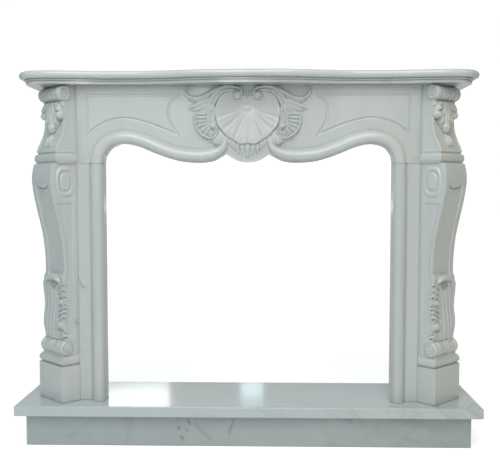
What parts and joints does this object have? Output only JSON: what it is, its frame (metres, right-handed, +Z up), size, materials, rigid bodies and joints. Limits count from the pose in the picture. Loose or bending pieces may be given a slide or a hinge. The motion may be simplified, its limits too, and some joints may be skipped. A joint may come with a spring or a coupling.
{
  "type": "fireplace mantel",
  "caption": "Carved white marble fireplace mantel in the Louis XV manner: serpentine shelf, shell frieze, arched opening, scrolled consoles turned outwards, raised hearth.",
  "frame": {"origin": "on the floor, under the middle of the whole: bottom centre of the bounding box", "axes": "+X to the right as seen from the front, -Y out of the wall towards the viewer, +Z up; the wall plane is at y = 0.1825 m"},
  "size_m": [1.6, 0.365, 1.285],
  "materials": {
    "carved_marble": "white marble, carved and polished",
    "shelf_marble": "white marble, high polish",
    "hearth_marble": "grey-white veined marble, high polish"
  },
  "bodies": {
    "root": {"hearth_slab": "hearth_marble", "riser_front": "hearth_marble", "riser_left_end": "hearth_marble", "riser_right_end": "hearth_marble", "frieze": "carved_marble", "shelf": "shelf_marble", "left_jamb": "carved_marble", "right_jamb": "carved_marble", "left_plinth": "carved_marble", "right_plinth": "carved_marble", "left_leg": "carved_marble", "right_leg": "carved_marble", "left_capital": "carved_marble", "right_capital": "carved_marble", "left_side_return": "carved_marble", "right_side_return": "carved_marble"}
  },
  "joints": []
}
